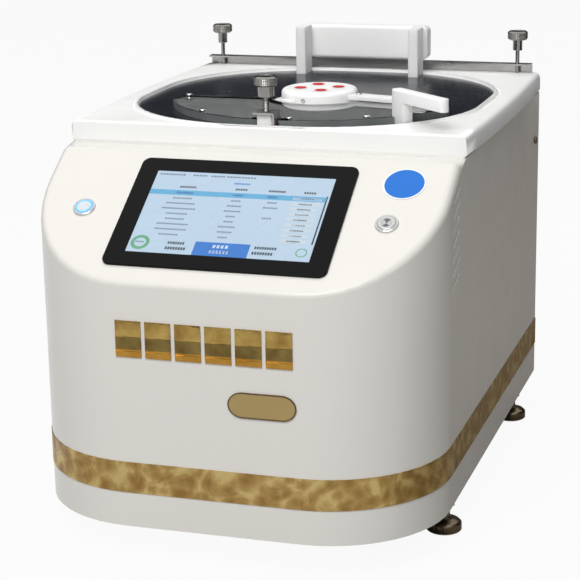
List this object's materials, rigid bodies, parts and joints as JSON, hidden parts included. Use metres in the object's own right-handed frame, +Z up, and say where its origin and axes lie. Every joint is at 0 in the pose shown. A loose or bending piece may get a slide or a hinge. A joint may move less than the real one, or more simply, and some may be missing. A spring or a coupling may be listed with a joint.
{
  "type": "spin coater",
  "caption": "Bench spin coater with a sloping touch panel, lift-off lid with a swinging port cap, and a vacuum chuck spinning in a splash bowl.",
  "frame": {"origin": "on the bench under the middle of the outline, rear spigots included", "axes": "+X to the operator's right, +Y to the rear, +Z up"},
  "size_m": [0.3574, 0.5172, 0.3804],
  "materials": {
    "cabinet_paint": "smooth gloss powder coat",
    "gold_foil": "mottled gold leaf",
    "marker_blue": "smooth film",
    "zinc_sheet": "satin zinc plate",
    "foot_nickel": "polished black nickel",
    "bezel_black": "gloss",
    "screen_glass": "lit panel behind glass",
    "module_grey": "satin",
    "button_steel": "spun",
    "button_light": "translucent",
    "deck_white": "smooth satin polyethylene",
    "knob_steel": "polished, knurled",
    "lid_black": "dark satin anodised",
    "clear_acrylic": "clear polished",
    "collar_acrylic": "frosted",
    "grip_white": "smooth satin polyethylene",
    "plug_red": "gloss",
    "bowl_grey": "satin polypropylene",
    "seal_black": "satin",
    "winding_brown": "lacquered laminations",
    "fitting_alloy": "turned",
    "hose_blue": "smooth polyurethane",
    "board_green": "solder mask",
    "socket_black": "fine grain",
    "spigot_white": "satin polypropylene"
  },
  "bodies": {
    "cabinet": {"housing_shell": "cabinet_paint", "gold_band": "gold_foil", "badge_plate": "gold_foil", "round_marker": "marker_blue", "base_plate": "zinc_sheet", "rear_panel": "cabinet_paint", "panel_screws": "button_steel", "foot_front_left": "foot_nickel", "foot_front_right": "foot_nickel", "foot_rear_left": "foot_nickel", "foot_rear_right": "foot_nickel", "touch_bezel": "bezel_black", "lcd_panel": "screen_glass", "display_module": "module_grey", "left_button_body": "button_steel", "right_button_body": "button_steel", "deck_plate": "deck_white", "rear_rail": "zinc_sheet", "splash_bowl": "bowl_grey", "motor_plate": "zinc_sheet", "frame_posts": "zinc_sheet", "motor_housing": "module_grey", "spindle_bearings": "knob_steel", "rotary_union": "fitting_alloy", "vacuum_hose": "hose_blue", "power_supply": "zinc_sheet", "drive_board": "board_green", "power_inlet": "socket_black", "power_switch": "socket_black", "fan_frame": "socket_black", "exhaust_port": "spigot_white", "drain_port": "spigot_white", "vacuum_port": "fitting_alloy"},
    "lid": {"lid_plate": "lid_black", "lid_window": "clear_acrylic", "window_screws": "button_steel", "port_collar": "collar_acrylic", "arm_pivot_screw": "knob_steel", "turret_stop": "grip_white", "front_grip": "grip_white", "handle_post_left": "grip_white", "handle_post_right": "grip_white", "handle_grip": "grip_white", "latch_block": "grip_white", "latch_bracket": "zinc_sheet", "latch_spring": "knob_steel"},
    "turret": {"port_turret": "grip_white", "port_plugs": "plug_red", "turret_arm": "grip_white"},
    "latch": {"latch_thumbscrew": "knob_steel"},
    "rear_left_screw": {"rear_left_thumbscrew": "knob_steel"},
    "rear_right_screw": {"rear_right_thumbscrew": "knob_steel"},
    "left_button": {"left_button_cap": "button_light"},
    "right_button": {"right_button_cap": "button_steel"},
    "spindle": {"motor_rotor": "winding_brown", "spindle_shaft": "knob_steel", "vacuum_chuck": "lid_black", "chuck_seal": "seal_black"},
    "mains_rocker": {"switch_rocker": "socket_black"},
    "fan": {"fan_rotor": "socket_black"}
  },
  "joints": [
    {"name": "lid_lift", "type": "slide", "parent": "cabinet", "child": "lid", "axis": [0, 0, 1], "range_m": [0, 0.15]},
    {"name": "turret_swing", "type": "hinge", "parent": "lid", "child": "turret", "pos_m": [0.10913, 0.00396, 0.3403], "axis": [0, 0, -1], "range_deg": [0, 75]},
    {"name": "latch_press", "type": "slide", "parent": "lid", "child": "latch", "axis": [0, 0, -1], "range_m": [0, 0.008], "stiffness_N_per_m": 600, "springref_m": -0.004, "deforming": ["latch_spring"]},
    {"name": "rear_left_screw_travel", "type": "slide", "parent": "cabinet", "child": "rear_left_screw", "axis": [0, 0, -1], "range_m": [0, 0.013]},
    {"name": "rear_right_screw_travel", "type": "slide", "parent": "cabinet", "child": "rear_right_screw", "axis": [0, 0, -1], "range_m": [0, 0.013]},
    {"name": "left_button_press", "type": "slide", "parent": "cabinet", "child": "left_button", "axis": [0, 0.5329, -0.8462], "range_m": [0, 0.0015], "stiffness_N_per_m": 800, "springref_m": -0.002},
    {"name": "right_button_press", "type": "slide", "parent": "cabinet", "child": "right_button", "axis": [0, 0.5329, -0.8462], "range_m": [0, 0.0015], "stiffness_N_per_m": 800, "springref_m": -0.002},
    {"name": "spindle_spin", "type": "hinge", "parent": "cabinet", "child": "spindle", "pos_m": [0, 0.057, 0.2225], "axis": [0, 0, 1], "continuous": true},
    {"name": "mains_rocker_tip", "type": "hinge", "parent": "cabinet", "child": "mains_rocker", "pos_m": [-0.118, 0.2311, 0.124], "axis": [1, 0, 0], "range_deg": [0, 18]},
    {"name": "fan_spin", "type": "hinge", "parent": "cabinet", "child": "fan", "pos_m": [0.088, 0.2176, 0.128], "axis": [0, 1, 0], "continuous": true}
  ]
}
